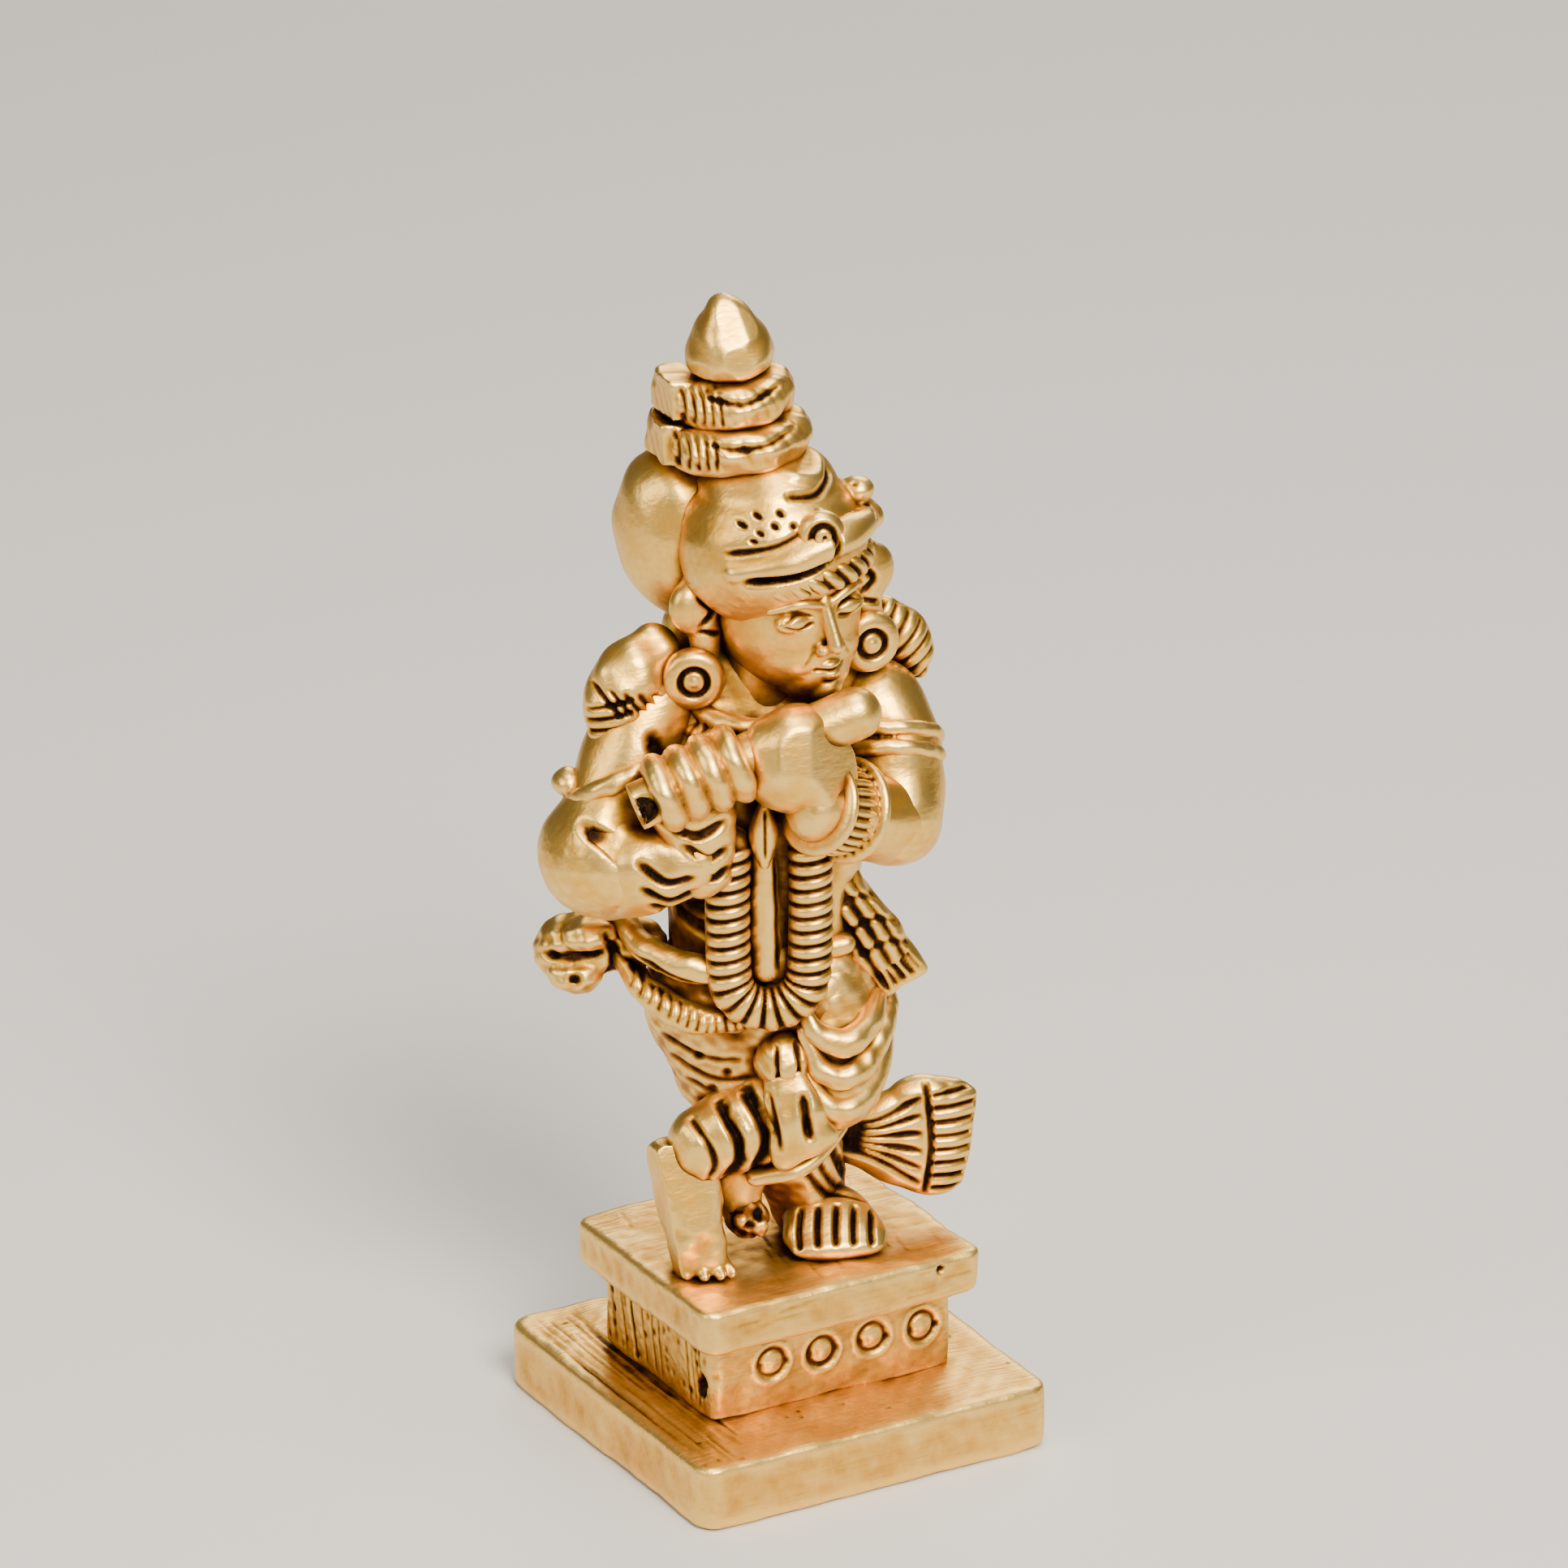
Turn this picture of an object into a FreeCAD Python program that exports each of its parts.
"""A two-inch brass idol of a crowned flute player, modelled as the pieces its wax pattern is built from.

The figure stands with one leg crossed over the other on a stepped pedestal.  Every piece is seated on the
ones built before it: what would run into them is cut away, so neighbours meet face to face and follow each
other when a size changes.  Lengths are in millimetres, +Z is up, the pedestal's front faces -Y, and the
origin is the middle of the pedestal's underside.
"""
import FreeCAD, Part
import Sketcher
import os

# ----------------------------------------------------------------------------------------------------------
# Driving dimensions: (name, value)
# ----------------------------------------------------------------------------------------------------------
PEDESTAL_SIZES = (
    ("foot_slab_width", 17.2),
    ("foot_slab_depth", 17.5),
    ("foot_slab_height", 2.9),
    ("foot_slab_corner", 1.5),
    ("foot_slab_edge", 0.35),
    ("neck_width", 11.8),
    ("neck_depth", 9.6),
    ("neck_height", 3.65),
    ("neck_corner", 0.45),
    ("cap_width", 13.6),
    ("cap_depth", 11.8),
    ("cap_height", 1.95),
    ("cap_corner", 0.7),
    ("cap_edge", 0.3),
    ("punch_radius", 0.66),
    ("punch_groove", 0.2),
    ("punch_depth", 0.18),
    ("punch_pitch", 2.45),
    ("punch_rise", 2.15),
    ("punch_row_offset", 0.65),
)
LEG_SIZES = (
    ("leg_length", 11.5),
    ("hip_half_width", 5.3),
    ("hip_half_depth", 3.2),
    ("hip_half_height", 3.7),
    ("standing_thigh_radius", 3.2),
    ("standing_ankle_radius", 1.6),
    ("crossing_hip_radius", 2.5),
    ("knee_radius", 2.35),
    ("crossing_ankle_radius", 1.75),
    ("hem_roll_radius", 0.55),
    ("standing_foot_half_width", 2.05),
    ("standing_foot_half_length", 2.9),
    ("standing_foot_half_height", 1.9),
    ("tiptoe_width", 3.1),
    ("tiptoe_depth", 2.0),
    ("tiptoe_toe_share", 0.8),
    ("ankle_bell_radius", 1.05),
)
DRAPE_SIZES = (
    ("pleat_top_width", 1.9),
    ("pleat_hem_width", 2.7),
    ("pleat_depth", 1.5),
    ("rosette_radius", 1.3),
    ("rosette_depth", 1.5),
    ("swag_radius", 1.9),
    ("swag_cord_radius", 0.62),
    ("swag_pitch", 1.65),
    ("waist_sash_half_width", 4.9),
    ("waist_sash_half_depth", 3.3),
    ("waist_sash_half_height", 1.9),
    ("knot_root_radius", 1.0),
    ("knot_radius", 1.75),
    ("tail_root_width", 2.3),
    ("tail_hem_width", 2.6),
    ("tail_depth", 1.5),
    ("fan_root_width", 1.6),
    ("fan_hem_width", 5.4),
    ("fan_hem_bulge", 0.7),
    ("fan_depth", 1.5),
)
BODY_SIZES = (
    ("body_turn", -22.0),
    ("torso_length", 13.0),
    ("waist_half_width", 3.9),
    ("waist_half_depth", 2.7),
    ("chest_half_width", 4.9),
    ("chest_half_depth", 3.1),
    ("shoulder_half_width", 5.3),
    ("shoulder_half_depth", 2.3),
    ("throat_radius", 1.7),
    ("collar_radius", 3.1),
    ("collar_cord_radius", 0.55),
    ("garland_cord_radius", 0.95),
    ("garland_half_width", 1.7),
    ("pendant_cord_radius", 0.62),
    ("pendant_leaf_half_width", 0.62),
    ("pendant_leaf_half_height", 1.4),
)
ARM_SIZES = (
    ("right_shoulder_radius", 2.3),
    ("right_elbow_radius", 2.85),
    ("right_wrist_radius", 1.5),
    ("right_hand_radius", 1.35),
    ("left_shoulder_radius", 2.1),
    ("left_elbow_radius", 2.3),
    ("left_wrist_radius", 1.7),
    ("left_hand_half_width", 2.2),
    ("left_hand_half_depth", 1.6),
    ("left_hand_half_height", 2.5),
    ("forearm_set_in", 0.2),
    ("armlet_cord_radius", 0.6),
    ("armlet_stand_off", 0.2),
    ("cuff_width", 2.0),
    ("cuff_stand_off", 0.35),
    ("flute_radius", 1.05),
    ("flute_bore_radius", 0.6),
    ("flute_bore_depth", 2.2),
    ("finger_radius", 0.62),
    ("finger_grip", 0.35),
)
HEAD_SIZES = (
    ("neck_length", 4.6),
    ("head_lean", -6.0),
    ("head_turn", 24.0),
    ("head_half_width", 3.1),
    ("head_half_depth", 3.2),
    ("head_half_height", 3.8),
    ("bun_half_width", 3.1),
    ("bun_half_depth", 2.9),
    ("bun_half_height", 3.8),
    ("bun_turn", 30.0),
    ("turban_half_width", 4.0),
    ("turban_half_depth", 3.9),
    ("turban_half_height", 3.7),
    ("brow_band_radius", 3.55),
    ("brow_band_cord_radius", 0.45),
    ("crest_radius", 1.05),
    ("crest_depth", 0.9),
    ("tier_height", 1.8),
    ("lower_tier_radius", 3.05),
    ("upper_tier_radius", 2.5),
    ("tier_neck_radius", 2.0),
    ("finial_radius", 1.85),
    ("finial_height", 3.15),
    ("ear_half_width", 0.85),
    ("ear_half_height", 1.4),
    ("earring_radius", 1.28),
    ("earring_depth", 0.9),
    ("earring_boss_radius", 0.42),
    ("earring_groove", 0.3),
    ("lock_half_width", 1.25),
    ("lock_half_height", 1.9),
    ("shoulder_lock_radius", 1.9),
)

# Landmarks of the figure: name -> (level they are measured from, side, front, up).  Side is towards the
# figure's left hand, front is the way its chest faces.
LANDMARKS = {
    "standing_hip": ("hips", -2.6, 0.0, -0.2),
    "standing_ankle": ("ground", 1.5, -0.2, 1.9),
    "standing_sole": ("ground", 2.2, 0.1, 0.3),
    "crossing_hip": ("hips", 1.8, 0.4, -0.8),
    "knee": ("hips", 2.0, 1.5, -3.7),
    "crossing_ankle": ("ground", -3.6, 2.5, 5.1),
    "tiptoe_heel": ("ground", -4.6, 2.6, 5.6),
    "tiptoe_toes": ("ground", -3.8, 3.5, 0.0),
    "ankle_bell": ("ground", -1.5, 2.0, 1.9),
    "hip_middle": ("hips", -0.4, 0.0, 0.0),
    "rosette": ("hips", -0.1, 2.4, -2.3),
    "pleat_hem": ("ground", 0.7, 3.8, 5.3),
    "swag": ("hips", 2.3, 1.4, -2.4),
    "waist_sash": ("hips", -1.9, 0.2, 1.6),
    "knot_root": ("hips", -4.4, -0.2, 2.0),
    "knot": ("hips", -8.2, -0.5, 1.9),
    "tail_root": ("hips", 2.3, 1.1, 5.0),
    "tail_hem": ("hips", 5.0, 1.1, 0.3),
    "fan_root": ("ground", 1.8, -0.6, 4.6),
    "fan_hem": ("ground", 8.0, -0.9, 3.7),
    "torso_axis": ("hips", -0.7, 0.0, 0.0),
    "collar": ("shoulders", -0.7, 0.6, 0.1),
    "garland_bottom": ("hips", -0.9, 3.7, 0.45),
    "garland_top": ("shoulders", -0.8, 3.6, -5.2),
    "pendant_foot": ("hips", -0.95, 3.3, 2.1),
    "hem_roll_root": ("ground", 2.0, 2.3, 5.3),
    "hem_roll_end": ("ground", -1.2, 3.0, 4.1),
    "pendant_leaf": ("shoulders", -1.15, 4.0, -4.5),
    "pendant_top": ("shoulders", -1.1, 3.7, -5.6),
    "right_shoulder": ("shoulders", -5.5, 0.4, 0.0),
    "right_elbow": ("shoulders", -7.5, 2.3, -5.8),
    "right_wrist": ("shoulders", -4.6, 4.1, -5.5),
    "right_palm": ("shoulders", -3.7, 4.0, -5.9),
    "left_shoulder": ("shoulders", 4.2, 0.0, -0.6),
    "left_elbow": ("shoulders", 4.4, 2.1, -4.8),
    "left_wrist": ("shoulders", 1.0, 4.8, -3.1),
    "left_palm": ("shoulders", 0.2, 4.5, -1.1),
    "flute_open_end": ("shoulders", -6.6, 5.2, -2.6),
    "flute_closed_end": ("shoulders", 2.6, 4.4, 0.75),
    "finger_row": ("shoulders", -4.2, 4.98, -1.62),
    "head": ("head", 0.3, 0.9, -0.2),
    "throat": ("shoulders", -0.5, 0.2, 0.6),
    "bun": ("head", -3.3, -1.7, 2.8),
    "turban": ("head", -0.4, 0.3, 2.5),
    "brow_band": ("head", 0.0, 0.7, 2.0),
    "crest": ("head", 1.5, 3.1, 3.8),
    "crown": ("head", -0.9, 0.0, 6.35),
    "right_ear": ("head", -0.1, 0.9, -0.6),
    "left_ear": ("head", 0.2, 0.4, 0.4),
    "right_earring": ("head", -0.6, 0.9, -3.1),
    "left_earring": ("head", 0.3, 0.3, -2.0),
    "left_hair_lock": ("head", 5.2, -1.1, -2.9),
    "right_shoulder_lock": ("shoulders", -6.3, -0.2, 0.6),
}

SMALLEST_OVERLAP = 1e-4
SMALLEST_SOLID = 0.02
BROKEN_STATES = ("Invalid", "Error")
UP = FreeCAD.Vector(0, 0, 1)

doc = FreeCAD.newDocument("flute_player_idol")
sheet = doc.addObject("Spreadsheet::Sheet", "sizes")
finished = []


# ----------------------------------------------------------------------------------------------------------
# The spreadsheet
# ----------------------------------------------------------------------------------------------------------
def fill_sheet():
    """Writes every driving dimension and every landmark offset to its own aliased cell."""
    rows = [row for group in (PEDESTAL_SIZES, LEG_SIZES, DRAPE_SIZES, BODY_SIZES, ARM_SIZES, HEAD_SIZES)
            for row in group]
    for name, (_, side, front, up) in LANDMARKS.items():
        rows += [(f"{name}_side", side), (f"{name}_front", front), (f"{name}_up", up)]
    for number, (name, value) in enumerate(rows, start=1):
        sheet.set(f"A{number}", name)
        sheet.set(f"B{number}", str(value))
        sheet.setAlias(f"B{number}", name)
    doc.recompute()


def size(name):
    """A driving dimension's value."""
    return float(getattr(sheet, name))


def bind(thing, **expressions):
    """Binds properties of a document object to cells, each given as an expression of cell names."""
    for prop, text in expressions.items():
        thing.setExpression(prop, text)


def cell(name):
    """The expression that reads one cell."""
    return f"{sheet.Name}.{name}"


# ----------------------------------------------------------------------------------------------------------
# Places
# ----------------------------------------------------------------------------------------------------------
FLANKS = {"right_ear": -1, "left_ear": 1, "right_earring": -1, "left_earring": 1}


def level(name):
    """Height of one of the figure's levels above the pedestal's underside."""
    ground = size("foot_slab_height") + size("neck_height") + size("cap_height")
    hips = ground + size("leg_length")
    shoulders = hips + size("torso_length")
    levels = {"ground": ground, "hips": hips, "shoulders": shoulders, "head": shoulders + size("neck_length")}
    return levels[name]


def figure_frame():
    """The figure's own frame: X to its left hand, -Y the way its chest faces."""
    return FreeCAD.Placement(FreeCAD.Vector(), FreeCAD.Rotation(UP, size("body_turn")))


def spot(name):
    """A landmark as a point of the row frame; what hangs on the head's flanks is measured from them."""
    side, front, up = (size(f"{name}_{word}") for word in ("side", "front", "up"))
    side += FLANKS.get(name, 0) * size("head_half_width")
    return figure_frame().multVec(FreeCAD.Vector(side, -front, level(LANDMARKS[name][0]) + up))


def placed(name, turn=0.0, lean=0.0, spin=0.0):
    """A placement at a landmark, in line with the figure: turned about Z, leaned to one side, then spun."""
    own = FreeCAD.Rotation(UP, turn).multiply(FreeCAD.Rotation(FreeCAD.Vector(0, 1, 0), lean))
    own = own.multiply(FreeCAD.Rotation(UP, spin))
    return FreeCAD.Placement(spot(name), figure_frame().Rotation.multiply(own))


def pointing(start, direction):
    """A placement at a point whose Z lies along a direction."""
    return FreeCAD.Placement(start, FreeCAD.Rotation(UP, direction))


def along(name_a, name_b, share):
    """The point a share of the way from one landmark to another."""
    a, b = spot(name_a), spot(name_b)
    return a + (b - a) * share


# ----------------------------------------------------------------------------------------------------------
# Seating and checking
# ----------------------------------------------------------------------------------------------------------
def check(thing):
    """Stops the build where an object failed or holds no sound shape."""
    states = [word for word in thing.State if word in BROKEN_STATES]
    if states or thing.Shape.isNull() or not thing.Shape.isValid():
        raise RuntimeError(f"{thing.Label} failed: {states}")


def runs_into(a, b):
    """True where two solids share more than a touch."""
    if not a.BoundBox.intersect(b.BoundBox):
        return False
    return a.common(b).Volume > SMALLEST_OVERLAP


def seat(blank, label):
    """Cuts a blank back from every finished piece that it runs into, and keeps the result as a sub-part."""
    doc.recompute()
    check(blank)
    current = blank
    for other in finished:
        if runs_into(current.Shape, other.Shape):
            cut = doc.addObject("Part::Cut", f"{label}_seat")
            cut.Base = current
            cut.Tool = other
            doc.recompute()
            check(cut)
            expected = current.Shape.Volume - current.Shape.common(other.Shape).Volume
            if abs(cut.Shape.Volume - expected) > 0.02 * current.Shape.Volume:
                raise RuntimeError(f"{label} was not cut soundly by {other.Label}")
            current = cut
    current.Label = label
    finished.append(current)
    return current


# ----------------------------------------------------------------------------------------------------------
# Blanks
# ----------------------------------------------------------------------------------------------------------
def ellipsoid(label, placement, side, front, up):
    """An ellipsoid whose three half lengths are bound to expressions."""
    blob = doc.addObject("Part::Ellipsoid", f"{label}_blank")
    blob.Angle1 = -90
    blob.Angle2 = 90
    blob.Angle3 = 360
    bind(blob, Radius1=up, Radius2=side, Radius3=front)
    blob.Placement = placement
    return blob


def ball(label, centre, radius):
    """A sphere whose radius is bound to an expression."""
    sphere = doc.addObject("Part::Sphere", f"{label}_ball")
    bind(sphere, Radius=radius)
    sphere.Placement.Base = centre
    return sphere


def fused(label, *shapes):
    """Several blanks as one."""
    whole = doc.addObject("Part::MultiFuse", f"{label}_blank")
    whole.Shapes = list(shapes)
    return whole


def limb(label, start, start_radius, end, end_radius):
    """A tapered limb with round ends between two points."""
    shaft = doc.addObject("Part::Cone", f"{label}_shaft")
    bind(shaft, Radius1=start_radius, Radius2=end_radius)
    shaft.Height = (end - start).Length
    shaft.Placement = pointing(start, end - start)
    return fused(label, ball(label, start, start_radius), shaft, ball(label, end, end_radius))


def ring(label, placement, radius, cord_radius):
    """A torus about its placement's Z."""
    torus = doc.addObject("Part::Torus", f"{label}_blank")
    bind(torus, Radius1=radius, Radius2=cord_radius)
    torus.Placement = placement
    return torus


def disc(label, placement, radius, depth):
    """A cylinder that stands on its placement's XY plane; its height may be left to be set later."""
    drum = doc.addObject("Part::Cylinder", f"{label}_disc")
    bind(drum, Radius=radius)
    if depth:
        bind(drum, Height=depth)
    drum.Placement = placement
    return drum


def loft(label, sections):
    """A ruled-free loft through closed profiles, each a document object."""
    solid = doc.addObject("Part::Loft", f"{label}_blank")
    solid.Sections = sections
    solid.Solid = True
    solid.Ruled = False
    return solid


def ellipse(label, placement, side, front):
    """An elliptical profile; its longer half length lies along the placement's X."""
    outline = doc.addObject("Part::Ellipse", f"{label}_section")
    bind(outline, MajorRadius=side, MinorRadius=front)
    outline.Placement = placement
    return outline


def panel(label, root, root_width, hem, hem_width, depth):
    """A flat strip of cloth that widens from its root to its hem, its face square to the figure's front."""
    sections = []
    front_way = figure_frame().Rotation.multVec(FreeCAD.Vector(0, -1, 0))
    run = hem - root
    across = run.cross(front_way).normalize()
    turned = FreeCAD.Rotation(across, run.cross(across), run, "ZXY")
    for point, width in ((root, root_width), (hem, hem_width)):
        outline = doc.addObject("Part::Plane", f"{label}_section")
        bind(outline, Length=width, Width=depth)
        corner = FreeCAD.Vector(size_of(width) / 2, size_of(depth) / 2, 0)
        outline.Placement = FreeCAD.Placement(point - turned.multVec(corner), turned)
        sections.append(outline)
    solid = loft(label, sections)
    solid.Ruled = True
    return solid


def size_of(expression):
    """The value of an expression that reads one cell."""
    return size(expression.split(".")[1])


# ----------------------------------------------------------------------------------------------------------
# Pedestal
# ----------------------------------------------------------------------------------------------------------
def origin_plane(body, role):
    """One of a body's own origin planes."""
    return next(feature for feature in body.Origin.OriginFeatures if feature.Role == role)


def rectangle(body, name, width, depth):
    """A centred rectangle on the body's XY plane, its sides bound to cells."""
    sketch = body.newObject("Sketcher::SketchObject", name)
    sketch.AttachmentSupport = [(origin_plane(body, "XY_Plane"), "")]
    sketch.MapMode = "FlatFace"
    half_x, half_y = size_of(width) / 2, size_of(depth) / 2
    corners = [FreeCAD.Vector(sx * half_x, sy * half_y, 0) for sx, sy in ((-1, -1), (1, -1), (1, 1), (-1, 1))]
    for number in range(4):
        sketch.addGeometry(Part.LineSegment(corners[number], corners[(number + 1) % 4]))
        sketch.addConstraint(Sketcher.Constraint("Horizontal" if number % 2 == 0 else "Vertical", number))
    for number in range(4):
        sketch.addConstraint(Sketcher.Constraint("Coincident", number, 2, (number + 1) % 4, 1))
    sketch.addConstraint(Sketcher.Constraint("Symmetric", 0, 1, 1, 2, -1, 1))
    wide = sketch.addConstraint(Sketcher.Constraint("DistanceX", 0, 1, 0, 2, 2 * half_x))
    deep = sketch.addConstraint(Sketcher.Constraint("DistanceY", 1, 1, 1, 2, 2 * half_y))
    sketch.setExpression(f"Constraints[{wide}]", width)
    sketch.setExpression(f"Constraints[{deep}]", depth)
    return sketch


def edges_of(shape, wanted):
    """Names of the shape's edges that a test accepts."""
    return [f"Edge{number}" for number, edge in enumerate(shape.Edges, start=1) if wanted(edge)]


def is_upright(edge):
    """True for a straight vertical edge."""
    low, high = edge.BoundBox.ZMin, edge.BoundBox.ZMax
    return high - low > 1e-6 and edge.BoundBox.XLength < 1e-6 and edge.BoundBox.YLength < 1e-6


def course(label, base_height, width, depth, height, corner, edge=None):
    """One rectangular course of the pedestal, with rounded corners and an eased top edge."""
    body = doc.addObject("PartDesign::Body", label)
    sketch = rectangle(body, f"{label}_outline", width, depth)
    pad = body.newObject("PartDesign::Pad", f"{label}_pad")
    pad.Profile = sketch
    bind(pad, Length=height)
    sketch.Visibility = False
    doc.recompute()
    corners = body.newObject("PartDesign::Fillet", f"{label}_corners")
    corners.Base = (pad, edges_of(pad.Shape, is_upright))
    bind(corners, Radius=corner)
    doc.recompute()
    if edge:
        top = pad.Shape.BoundBox.ZMax
        eased = body.newObject("PartDesign::Fillet", f"{label}_eased_edge")
        eased.Base = (corners, edges_of(corners.Shape, lambda e: e.BoundBox.ZMin > top - 1e-6))
        bind(eased, Radius=edge)
        doc.recompute()
    body.Placement.Base.z = base_height
    doc.recompute()
    return body


def add_punch_marks(body):
    """Four ring-shaped punch marks in a row across the front of the neck block."""
    sketch = body.newObject("Sketcher::SketchObject", "punch_outline")
    sketch.AttachmentSupport = [(origin_plane(body, "XZ_Plane"), "")]
    sketch.MapMode = "FlatFace"
    start = size("punch_row_offset") - 1.5 * size("punch_pitch")
    first = FreeCAD.Vector(start, size("punch_rise"), 0)
    for radius in (size("punch_radius"), size("punch_radius") - size("punch_groove")):
        sketch.addGeometry(Part.Circle(first, UP, radius))
    outer = sketch.addConstraint(Sketcher.Constraint("Radius", 0, size("punch_radius")))
    inner_radius = size("punch_radius") - size("punch_groove")
    inner = sketch.addConstraint(Sketcher.Constraint("Radius", 1, inner_radius))
    sketch.addConstraint(Sketcher.Constraint("Coincident", 0, 3, 1, 3))
    across = sketch.addConstraint(Sketcher.Constraint("DistanceX", 0, 3, -1, 1, -first.x))
    rise = sketch.addConstraint(Sketcher.Constraint("DistanceY", -1, 1, 0, 3, first.y))
    sketch.setExpression(f"Constraints[{outer}]", cell("punch_radius"))
    sketch.setExpression(f"Constraints[{inner}]", f"{cell('punch_radius')} - {cell('punch_groove')}")
    half_row = f"1.5 * {cell('punch_pitch')} - {cell('punch_row_offset')}"
    sketch.setExpression(f"Constraints[{across}]", half_row)
    sketch.setExpression(f"Constraints[{rise}]", cell("punch_rise"))
    bind(sketch, **{"AttachmentOffset.Base.z": f"{cell('neck_depth')} / 2 - {cell('punch_depth')}"})
    doc.recompute()
    before = body.Shape.Volume
    pocket = body.newObject("PartDesign::Pocket", "punch_mark")
    pocket.Profile = sketch
    pocket.Reversed = True
    bind(pocket, Length=f"2 * {cell('punch_depth')}")
    sketch.Visibility = False
    doc.recompute()
    row = body.newObject("PartDesign::LinearPattern", "punch_row")
    row.Originals = [pocket]
    row.Direction = (sketch, ["H_Axis"])
    row.Occurrences = 4
    bind(row, Length=f"3 * {cell('punch_pitch')}")
    body.Tip = row
    doc.recompute()
    if body.Shape.Volume >= before:
        raise RuntimeError("the punch marks cut nothing")


def build_pedestal():
    """Three courses: a broad foot slab, a recessed neck with punched rings, and a cap."""
    foot = course("foot_slab", 0.0, cell("foot_slab_width"), cell("foot_slab_depth"),
                  cell("foot_slab_height"), cell("foot_slab_corner"), cell("foot_slab_edge"))
    seat(foot, "foot_slab")
    neck_base = size("foot_slab_height")
    neck = course("neck_block", neck_base, cell("neck_width"), cell("neck_depth"), cell("neck_height"),
                  cell("neck_corner"))
    add_punch_marks(neck)
    seat(neck, "neck_block")
    cap_base = neck_base + size("neck_height")
    cap = course("cap_slab", cap_base, cell("cap_width"), cell("cap_depth"), cell("cap_height"),
                 cell("cap_corner"), cell("cap_edge"))
    seat(cap, "cap_slab")


# ----------------------------------------------------------------------------------------------------------
# Body and legs
# ----------------------------------------------------------------------------------------------------------
def build_torso():
    """A torso lofted from waist to shoulders, and a throat between it and the head."""
    rise = size("torso_length")
    axis = placed("torso_axis")
    stations = (
        (0.0, "waist_half_width", "waist_half_depth"),
        (0.62 * rise, "chest_half_width", "chest_half_depth"),
        (rise, "shoulder_half_width", "shoulder_half_depth"),
    )
    sections = []
    for height, half_width, half_depth in stations:
        where = FreeCAD.Placement(axis.Base + UP * height, axis.Rotation)
        sections.append(ellipse("torso", where, cell(half_width), cell(half_depth)))
    seat(loft("torso", sections), "torso")
    hips = ellipsoid("dhoti_hips", placed("hip_middle"), cell("hip_half_width"), cell("hip_half_depth"),
                     cell("hip_half_height"))
    seat(hips, "dhoti_hips")


def build_legs():
    """The standing leg, the leg that crosses in front of it, and both feet."""
    standing = limb("standing_leg", spot("standing_hip"), cell("standing_thigh_radius"),
                    spot("standing_ankle"), cell("standing_ankle_radius"))
    seat(standing, "standing_leg")
    thigh = limb("crossing_thigh", spot("crossing_hip"), cell("crossing_hip_radius"), spot("knee"),
                 cell("knee_radius"))
    seat(thigh, "crossing_thigh")
    shin = limb("crossing_shin", spot("knee"), cell("crossing_ankle_radius"), spot("crossing_ankle"),
                cell("crossing_ankle_radius"))
    seat(shin, "crossing_shin")
    roll = limb("hem_roll", spot("hem_roll_root"), cell("hem_roll_radius"), spot("hem_roll_end"),
                cell("hem_roll_radius"))
    seat(roll, "hem_roll")
    foot = ellipsoid("standing_foot", placed("standing_sole"), cell("standing_foot_half_width"),
                     cell("standing_foot_half_length"), cell("standing_foot_half_height"))
    seat(foot, "standing_foot")
    seat(tiptoe_foot(), "tiptoe_foot")
    seat(ball("ankle_bell", spot("ankle_bell"), cell("ankle_bell_radius")), "ankle_bell")


def tiptoe_foot():
    """The crossed foot, on its toes: a loft from the toes on the cap up to the heel."""
    turn = figure_frame().Rotation
    half_width, half_depth = f"{cell('tiptoe_width')} / 2", f"{cell('tiptoe_depth')} / 2"
    share = cell("tiptoe_toe_share")
    toes, heel = spot("tiptoe_toes"), spot("tiptoe_heel")
    stations = ((toes, f" * {share}"), ((toes + heel) * 0.5, ""), (heel, ""))
    return loft("tiptoe_foot", [
        ellipse("tiptoe", FreeCAD.Placement(point, turn), half_width + narrowed, half_depth + narrowed)
        for point, narrowed in stations])


# ----------------------------------------------------------------------------------------------------------
# Drapery
# ----------------------------------------------------------------------------------------------------------
def build_drapery():
    """Sashes, swags, pleats and the flaring hem of the dhoti."""
    sash = ellipsoid("waist_sash", placed("waist_sash"), cell("waist_sash_half_width"),
                     cell("waist_sash_half_depth"), cell("waist_sash_half_height"))
    seat(sash, "waist_sash")
    for number in range(3):
        seat(swag(number), f"thigh_swag_{number + 1}")
    front = figure_frame().Rotation.multVec(FreeCAD.Vector(0, -1, 0))
    boss = disc("waist_rosette", pointing(spot("rosette"), front), cell("rosette_radius"),
                cell("rosette_depth"))
    seat(boss, "waist_rosette")
    pleat = panel("front_pleat", spot("rosette"), cell("pleat_top_width"), spot("pleat_hem"),
                  cell("pleat_hem_width"), cell("pleat_depth"))
    seat(pleat, "front_pleat")
    knot = limb("sash_knot", spot("knot_root"), cell("knot_root_radius"), spot("knot"), cell("knot_radius"))
    seat(knot, "sash_knot")
    tail = panel("sash_tail", spot("tail_root"), cell("tail_root_width"), spot("tail_hem"),
                 cell("tail_hem_width"), cell("tail_depth"))
    seat(tail, "sash_tail")
    seat(hem_fan(), "hem_fan")


def swag(number):
    """One loop of cloth that hangs round the crossing thigh, as a ring pitched below the one before."""
    drop = UP * (size("swag_pitch") * (number - 1))
    across = figure_frame().Rotation.multVec(FreeCAD.Vector(1, 0, 0))
    tilt = FreeCAD.Rotation(across, 20)
    where = FreeCAD.Placement(spot("swag") - drop, tilt.multiply(figure_frame().Rotation))
    return ring("thigh_swag", where, cell("swag_radius"), cell("swag_cord_radius"))


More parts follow.
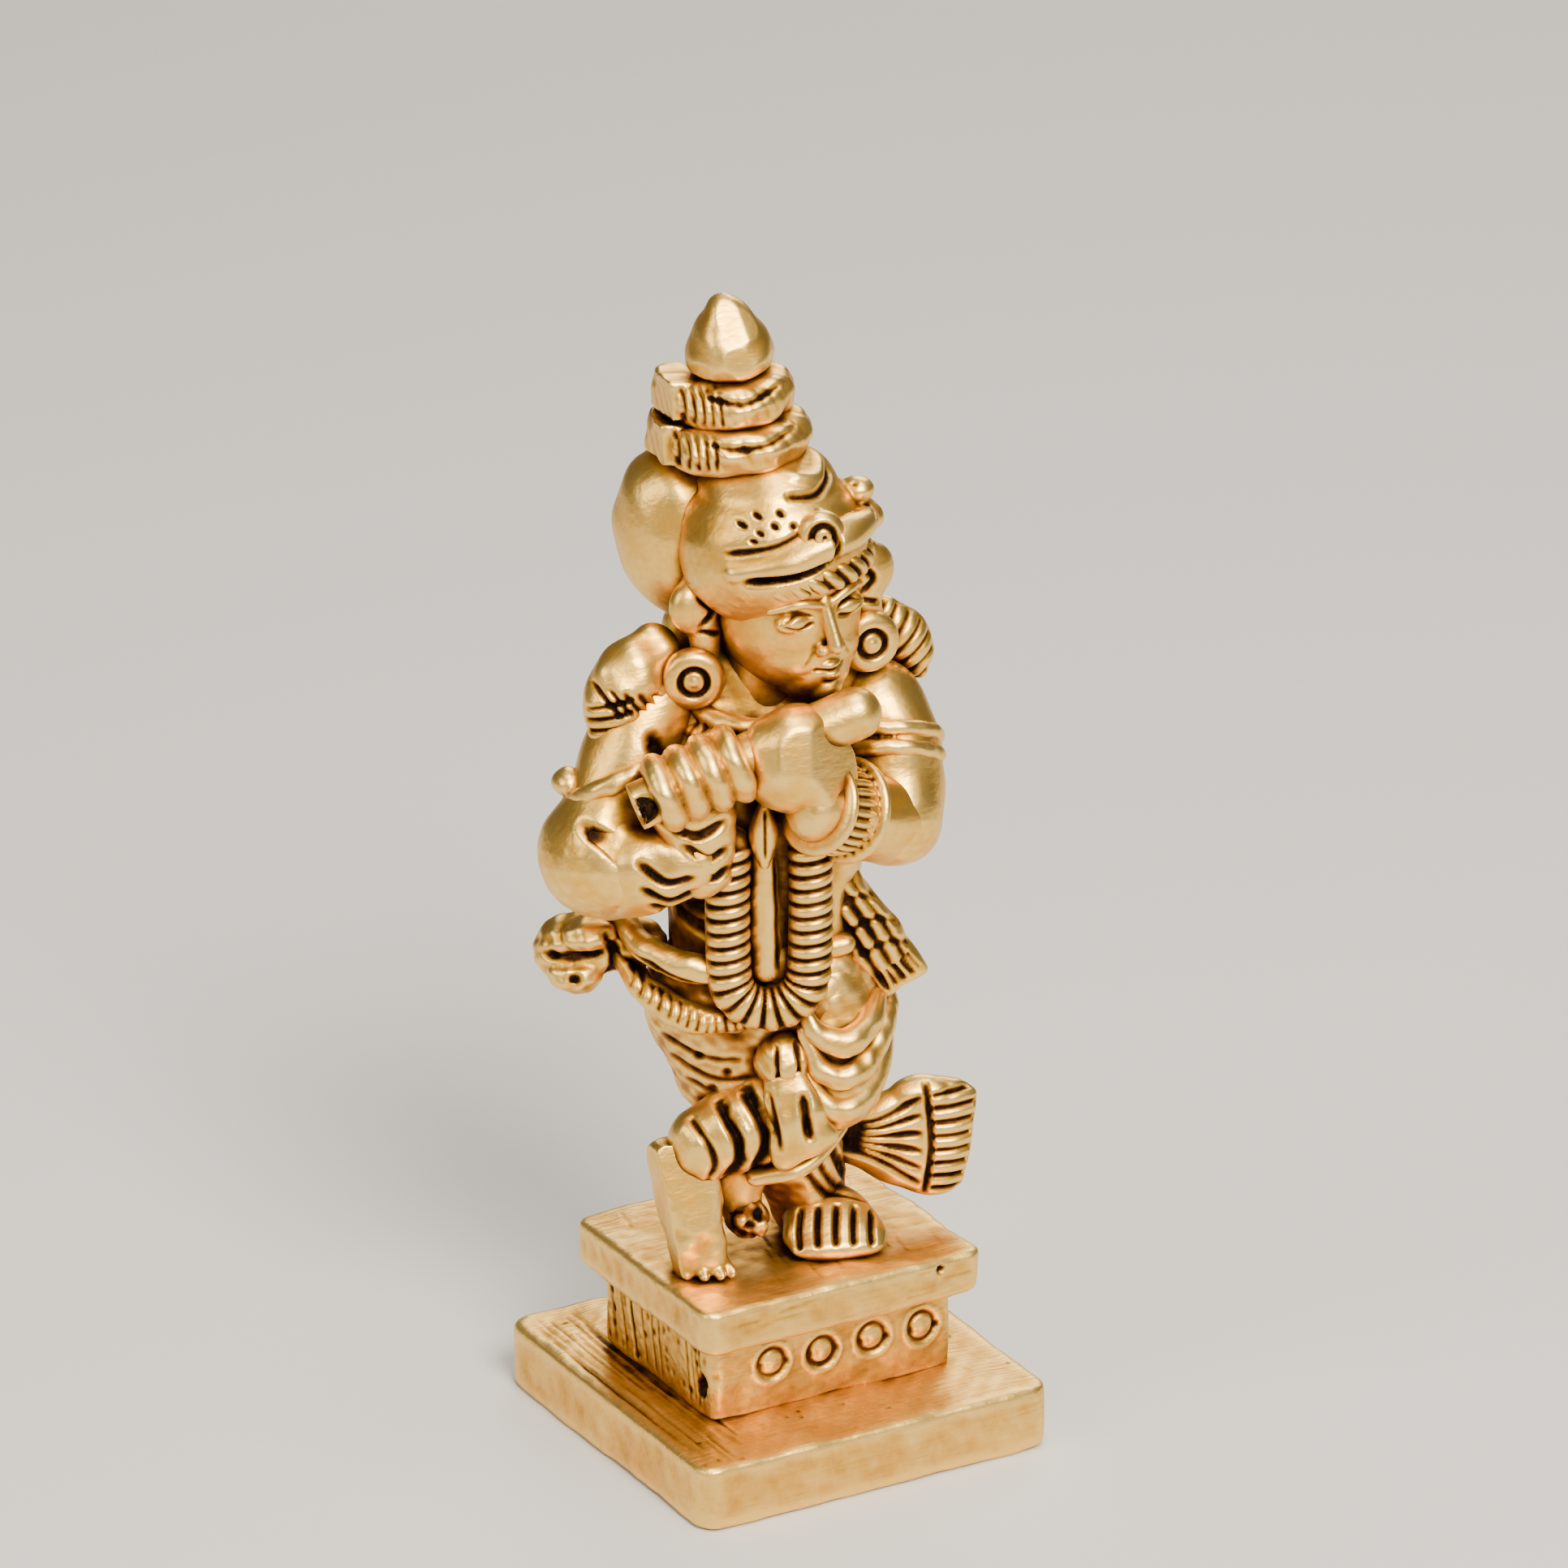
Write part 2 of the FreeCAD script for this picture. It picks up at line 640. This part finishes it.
def hem_fan():
    """The fan-shaped end of the dhoti: a tapering strip whose hem is an arc."""
    root, hem = spot("fan_root"), spot("fan_hem")
    front = figure_frame().Rotation.multVec(FreeCAD.Vector(0, -1, 0))
    run = (hem - root).normalize()
    across = run.cross(front).normalize()
    root_half = across * (size("fan_root_width") / 2)
    hem_half = across * (size("fan_hem_width") / 2)
    back = front * (-size("fan_depth") / 2)
    a, b, c, d = root - root_half, hem - hem_half, hem + hem_half, root + root_half
    bulge = hem + run * size("fan_hem_bulge")
    edges = [Part.makeLine(a, b), Part.Arc(b, bulge, c).toShape(), Part.makeLine(c, d), Part.makeLine(d, a)]
    outline = Part.Face(Part.Wire(edges))
    fan = doc.addObject("Part::Feature", "hem_fan_blank")
    solid = outline.extrude(front * size("fan_depth"))
    solid.translate(back)
    fan.Shape = solid
    return fan


# ----------------------------------------------------------------------------------------------------------
# Head and crown
# ----------------------------------------------------------------------------------------------------------
def build_head():
    """Head, hair bun, turban, ears and the tiered crown."""
    turn, lean = size("head_turn"), size("head_lean")
    seat(limb("throat", spot("throat"), cell("throat_radius"), spot("head"), cell("throat_radius")), "throat")
    skull = ellipsoid("head", placed("head", turn, lean), cell("head_half_width"), cell("head_half_depth"),
                      cell("head_half_height"))
    seat(skull, "head")
    turban = ellipsoid("turban", placed("turban", turn, lean), cell("turban_half_width"),
                       cell("turban_half_depth"), cell("turban_half_height"))
    seat(turban, "turban")
    bun = ellipsoid("hair_bun", placed("bun", size("bun_turn"), lean), cell("bun_half_width"), cell("bun_half_depth"),
                    cell("bun_half_height"))
    seat(bun, "hair_bun")
    seat(ring("brow_band", placed("brow_band", turn, lean, 270.0), cell("brow_band_radius"),
              cell("brow_band_cord_radius")), "brow_band")
    build_crown(lean)
    build_ear_pieces(turn, lean)


def build_crown(lean):
    """Two rounded tiers and a pointed finial, each standing on the one below."""
    base = placed("crown", 0, lean)
    step = base.Rotation.multVec(UP)
    tiers = (("crown_lower_tier", "lower_tier_radius"), ("crown_upper_tier", "upper_tier_radius"))
    for number, (label, radius) in enumerate(tiers):
        where = FreeCAD.Placement(base.Base + step * (size("tier_height") * number), base.Rotation)
        seat(turned_tier(label, radius, where), label)
    top = FreeCAD.Placement(base.Base + step * (2 * size("tier_height")), base.Rotation)
    seat(turned_finial(top), "crown_finial")
    facing = base.Rotation.multVec(FreeCAD.Vector(0, -1, 0))
    crest = disc("crest_medallion", pointing(spot("crest"), facing), cell("crest_radius"),
                 cell("crest_depth"))
    seat(crest, "crest_medallion")


def turned_profile(body, name, edges):
    """A sketch on the body's XZ plane made of the given edges, all at their final places."""
    sketch = body.newObject("Sketcher::SketchObject", name)
    sketch.AttachmentSupport = [(origin_plane(body, "XZ_Plane"), "")]
    sketch.MapMode = "FlatFace"
    for edge in edges:
        sketch.addGeometry(edge)
    return sketch


def turn_about_axis(body, sketch, name):
    """A full revolution of the sketch about its vertical axis."""
    turned = body.newObject("PartDesign::Revolution", name)
    turned.Profile = sketch
    turned.ReferenceAxis = (sketch, ["V_Axis"])
    turned.Angle = 360
    sketch.Visibility = False
    doc.recompute()
    return turned


def turned_tier(label, radius, where):
    """A crown tier: a drum whose rim swells out to its full radius at mid height."""
    body = doc.addObject("PartDesign::Body", f"{label}_body")
    neck, rim, tall = size("tier_neck_radius"), size(radius), size("tier_height")
    centre, foot, shoulder, head = (FreeCAD.Vector(x, y, 0) for x, y in
                                    ((0, 0), (neck, 0), (neck, tall), (0, tall)))
    swell = FreeCAD.Vector(rim, tall / 2, 0)
    sketch = turned_profile(body, f"{label}_profile", [
        Part.LineSegment(centre, foot), Part.Arc(foot, swell, shoulder),
        Part.LineSegment(shoulder, head), Part.LineSegment(head, centre)])
    turn_about_axis(body, sketch, f"{label}_turned")
    body.Placement = where
    return body


def turned_finial(where):
    """The crown's pointed, egg-shaped finial."""
    body = doc.addObject("PartDesign::Body", "crown_finial_body")
    rim, tall = size("finial_radius"), size("finial_height")
    centre, foot, tip = FreeCAD.Vector(), FreeCAD.Vector(0.8 * rim, 0, 0), FreeCAD.Vector(0, tall, 0)
    belly, shoulder = FreeCAD.Vector(rim, 0.22 * tall, 0), FreeCAD.Vector(0.7 * rim, 0.6 * tall, 0)
    crown_of_egg = FreeCAD.Vector(0.34 * rim, 0.88 * tall, 0)
    flank = Part.BSplineCurve()
    flank.interpolate([foot, belly, shoulder, crown_of_egg, tip])
    sketch = turned_profile(body, "crown_finial_profile", [
        Part.LineSegment(centre, foot), flank, Part.LineSegment(tip, centre)])
    turn_about_axis(body, sketch, "crown_finial_turned")
    body.Placement = where
    return body


def build_ear_pieces(turn, lean):
    """Ears, disc earrings and the lock of hair behind the left ear."""
    for word in ("right", "left"):
        ear = ellipsoid(f"{word}_ear", placed(f"{word}_ear", turn, lean), cell("ear_half_width"),
                        cell("ear_half_width"), cell("ear_half_height"))
        seat(ear, f"{word}_ear")
        seat(earring(f"{word}_earring"), f"{word}_earring")
    lock = ellipsoid("left_hair_lock", placed("left_hair_lock", 0, 20), cell("lock_half_width"),
                     cell("lock_half_width"), cell("lock_half_height"))
    seat(lock, "left_hair_lock")


def earring(label):
    """A thick disc with a ring groove round a boss in its face."""
    facing = figure_frame().Rotation.multVec(FreeCAD.Vector(0, -1, 0))
    centre = spot(label)
    back = pointing(centre - facing * (size("earring_depth") / 2), facing)
    plate = disc(label, back, cell("earring_radius"), cell("earring_depth"))
    groove_floor = pointing(centre + facing * (size("earring_depth") / 2 - size("earring_groove")), facing)
    groove = disc(label, groove_floor, f"2 * {cell('earring_boss_radius')}", cell("earring_depth"))
    boss = disc(label, groove_floor, cell("earring_boss_radius"), cell("earring_groove"))
    dished = doc.addObject("Part::Cut", f"{label}_dished")
    dished.Base = plate
    dished.Tool = groove
    return fused(label, dished, boss)


# ----------------------------------------------------------------------------------------------------------
# Arms, flute and ornaments
# ----------------------------------------------------------------------------------------------------------
def build_flute():
    """The flute: a round rod with a blind bore in its open end."""
    start, end = spot("flute_open_end"), spot("flute_closed_end")
    rod = doc.addObject("Part::Cylinder", "flute_rod")
    bind(rod, Radius=cell("flute_radius"))
    rod.Height = (end - start).Length
    rod.Placement = pointing(start, end - start)
    bore = disc("flute_bore", pointing(start, end - start), cell("flute_bore_radius"),
                cell("flute_bore_depth"))
    rounded = fused("flute_rod", rod, ball("flute", end, cell("flute_radius")))
    drilled = doc.addObject("Part::Cut", "flute_blank")
    drilled.Base = rounded
    drilled.Tool = bore
    seat(drilled, "flute")


def build_arms():
    """Upper arms, forearms and hands, the right one below the flute and the left one over it."""
    for word in ("right", "left"):
        upper = limb(f"{word}_upper_arm", spot(f"{word}_shoulder"), cell(f"{word}_shoulder_radius"),
                     spot(f"{word}_elbow"), cell(f"{word}_elbow_radius"))
        seat(upper, f"{word}_upper_arm")
        seat(armlet(word), f"{word}_armlet")
    seat(fingers(), "right_fingers")
    for word in ("right", "left"):
        fore = limb(f"{word}_forearm", spot(f"{word}_elbow"),
                    f"{cell(word + '_elbow_radius')} - {cell('forearm_set_in')}",
                    spot(f"{word}_wrist"), cell(f"{word}_wrist_radius"))
        seat(fore, f"{word}_forearm")
    palm = limb("right_hand", spot("right_palm"), cell("right_hand_radius"),
                along("right_palm", "finger_row", 0.45), cell("right_hand_radius"))
    seat(palm, "right_hand")
    hand = ellipsoid("left_hand", placed("left_palm"), cell("left_hand_half_width"),
                     cell("left_hand_half_depth"), cell("left_hand_half_height"))
    seat(hand, "left_hand")
    seat(cuff(), "left_cuff")


def armlet(word):
    """A ring round the middle of an upper arm."""
    shoulder, elbow = spot(f"{word}_shoulder"), spot(f"{word}_elbow")
    middle = along(f"{word}_shoulder", f"{word}_elbow", 0.45)
    arm = f"0.55 * {cell(word + '_shoulder_radius')} + 0.45 * {cell(word + '_elbow_radius')}"
    radius = f"{arm} + {cell('armlet_stand_off')} - {cell('armlet_cord_radius')} / 2"
    return ring(f"{word}_armlet", pointing(middle, elbow - shoulder), radius, cell("armlet_cord_radius"))


def cuff():
    """A wide bracelet round the left forearm just above the wrist."""
    elbow, wrist = spot("left_elbow"), spot("left_wrist")
    run = (wrist - elbow).normalize()
    start = wrist - run * size("cuff_width")
    band = doc.addObject("Part::Cone", "left_cuff_blank")
    bind(band, Height=cell("cuff_width"),
         Radius1=f"{cell('left_wrist_radius')} + {cell('cuff_stand_off')} * 1.5",
         Radius2=f"{cell('left_wrist_radius')} + {cell('cuff_stand_off')}")
    band.Placement = pointing(start, run)
    return band


def fingers():
    """Four fingers wrapped side by side round the flute."""
    start, end = spot("flute_open_end"), spot("flute_closed_end")
    run = (end - start).normalize()
    pitch = 1.7 * size("finger_radius")
    rings = []
    for number in range(4):
        centre = spot("finger_row") + run * (pitch * (number - 1.5))
        reach = f"{cell('flute_radius')} + {cell('finger_radius')} - {cell('finger_grip')}"
        rings.append(ring("right_fingers", pointing(centre, run), reach, cell("finger_radius")))
    return fused("right_fingers", *rings)


def build_ornaments():
    """The collar, the long garland, the cord inside it and the lock on the right shoulder."""
    seat(ring("collar", placed("collar"), cell("collar_radius"), cell("collar_cord_radius")), "collar")
    seat(garland(), "garland")
    cord = limb("garland_cord", spot("pendant_top"), cell("pendant_cord_radius"), spot("pendant_foot"),
                cell("pendant_cord_radius"))
    seat(cord, "garland_cord")
    leaf = ellipsoid("pendant_leaf", placed("pendant_leaf"), cell("pendant_leaf_half_width"),
                     cell("pendant_leaf_half_width"), cell("pendant_leaf_half_height"))
    seat(leaf, "pendant_leaf")
    lock = ball("right_shoulder_lock", spot("right_shoulder_lock"), cell("shoulder_lock_radius"))
    seat(lock, "right_shoulder_lock")


def garland():
    """The garland: a cord that hangs down, turns round its lower half ring and rises again."""
    top, bottom = spot("garland_top"), spot("garland_bottom")
    rise = (top - bottom).normalize()
    across = rise.cross(figure_frame().Rotation.multVec(FreeCAD.Vector(0, 1, 0)) * -1).normalize()
    turn_level = bottom + rise * size("garland_half_width")
    turn = doc.addObject("Part::Torus", "garland_turn")
    turn.Angle3 = 180
    bind(turn, Radius1=cell("garland_half_width"), Radius2=cell("garland_cord_radius"))
    turned = FreeCAD.Rotation(across, rise * -1, across.cross(rise * -1), "YXZ")
    turn.Placement = FreeCAD.Placement(turn_level, turned)
    strands = []
    for way in (-1, 1):
        foot = turn_level + across * (way * size("garland_half_width"))
        strand = disc("garland", pointing(foot, rise), cell("garland_cord_radius"), None)
        strand.Height = (top - turn_level).Length
        strands.append(strand)
    return fused("garland", turn, *strands)


# ----------------------------------------------------------------------------------------------------------
# The whole idol
# ----------------------------------------------------------------------------------------------------------
def kept_solids(shape):
    """A shape's solids without the crumbs that a cut leaves."""
    return [solid for solid in shape.Solids if solid.Volume > SMALLEST_SOLID]


def write_parts():
    """Checks every sub-part and writes it to its own file."""
    os.makedirs("parts", exist_ok=True)
    for thing in doc.Objects:
        if any(word in BROKEN_STATES for word in thing.State):
            raise RuntimeError(f"{thing.Label} failed: {thing.State}")
    faulty = []
    for thing in finished:
        solids = kept_solids(thing.Shape)
        if not solids or not all(solid.isValid() for solid in solids):
            raise RuntimeError(f"{thing.Label} has no sound solid")
        shape = solids[0] if len(solids) == 1 else Part.makeCompound(solids)
        path = f"parts/{thing.Label}.step"
        shape.exportStep(path)
        written = Part.Shape()
        written.read(path)
        if abs(written.Volume - shape.Volume) > 0.02 * shape.Volume:
            faulty.append(f"{thing.Label} reads back with another volume: {written.Volume:.2f} mm3")
        print(f"{thing.Label:22s} solids {len(solids)}  volume {shape.Volume:8.2f} mm3")
    if faulty:
        raise RuntimeError("; ".join(faulty))


fill_sheet()
build_pedestal()
build_torso()
build_legs()
build_head()
build_flute()
build_arms()
build_drapery()
build_ornaments()
write_parts()
